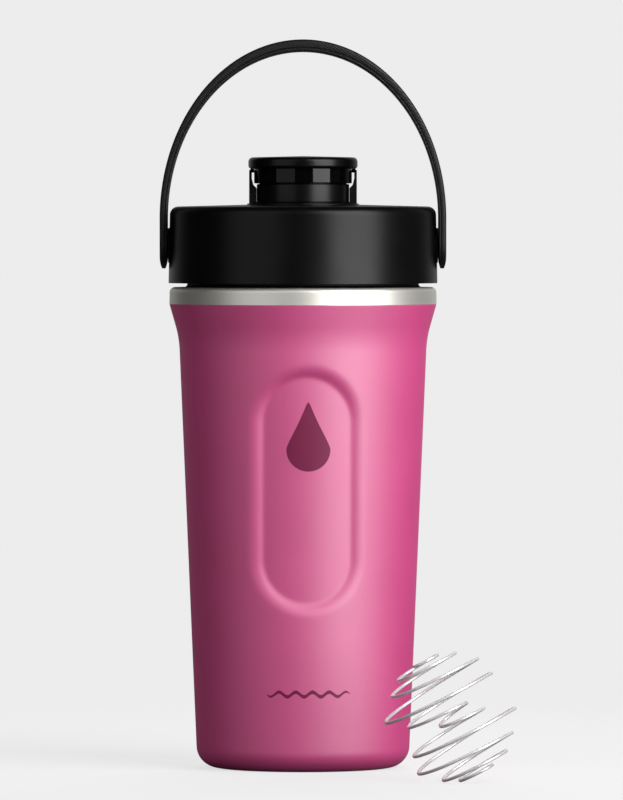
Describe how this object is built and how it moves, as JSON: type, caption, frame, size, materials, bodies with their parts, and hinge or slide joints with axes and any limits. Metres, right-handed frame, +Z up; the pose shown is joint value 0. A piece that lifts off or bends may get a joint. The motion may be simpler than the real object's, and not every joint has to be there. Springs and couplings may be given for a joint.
{
  "type": "insulated shaker bottle",
  "caption": "Double-walled steel shaker bottle with a screw-on lid, a flip cap over the spout, a swinging carry strap and a loose wire whisk.",
  "frame": {"origin": "centre of the foot ring, on the surface that the bottle stands on", "axes": "+Z up along the bottle's axis, +X towards the right strap pivot, the thumb recess shown faces -Y and the cap hinge is at +Y"},
  "size_m": [0.1228, 0.1499, 0.2543],
  "materials": {
    "coat": "satin powder coat",
    "steel": "brushed",
    "solder": "dull",
    "getter": "dull",
    "lid_plastic": "matte",
    "plug_plastic": "satin",
    "silicone": "matte",
    "pin_steel": "polished",
    "stud_plastic": "satin",
    "cap_gloss": "gloss",
    "strap_rubber": "matte, finely ribbed",
    "whisk_steel": "polished"
  },
  "bodies": {
    "flask": {"outer_shell": "coat", "inner_liner": "steel", "base_disc": "steel", "port_seal": "solder", "getter": "getter"},
    "gasket": {"lid_gasket": "silicone"},
    "lid": {"lid_cover": "lid_plastic", "lid_core": "plug_plastic", "hinge_bracket": "lid_plastic", "hinge_pin": "pin_steel", "strap_stud_left": "stud_plastic", "strap_stud_right": "stud_plastic"},
    "cap": {"cap_top": "lid_plastic", "cap_skirt": "cap_gloss", "cap_liner": "plug_plastic", "cap_seal": "silicone"},
    "strap": {"carry_strap": "strap_rubber", "strap_eyelet_left": "stud_plastic", "strap_eyelet_right": "stud_plastic"},
    "whisk": {"wire_whisk": "whisk_steel"}
  },
  "joints": [
    {"name": "lid_rise", "type": "slide", "parent": "flask", "child": "gasket", "axis": [0, 0, 1], "range_m": [0, 0.04]},
    {"name": "lid_turn", "type": "hinge", "parent": "gasket", "child": "lid", "pos_m": [0, 0, 0.1696], "axis": [0, 0, 1], "range_deg": [0, 1800]},
    {"name": "cap_flip", "type": "hinge", "parent": "lid", "child": "cap", "pos_m": [0, 0.0205, 0.2102], "axis": [-1, 0, 0], "range_deg": [0, 180]},
    {"name": "strap_swing", "type": "hinge", "parent": "lid", "child": "strap", "pos_m": [0, 0, 0.1825], "axis": [1, 0, 0], "range_deg": [-130, 130]},
    {"name": "whisk_lift", "type": "slide", "parent": "flask", "child": "whisk", "axis": [0, 0, 1], "range_m": [0, 0.25]}
  ],
  "couplings": [
    {"joint": "lid_rise", "follows": "lid_turn", "m_per_rad": 0.0012732}
  ]
}
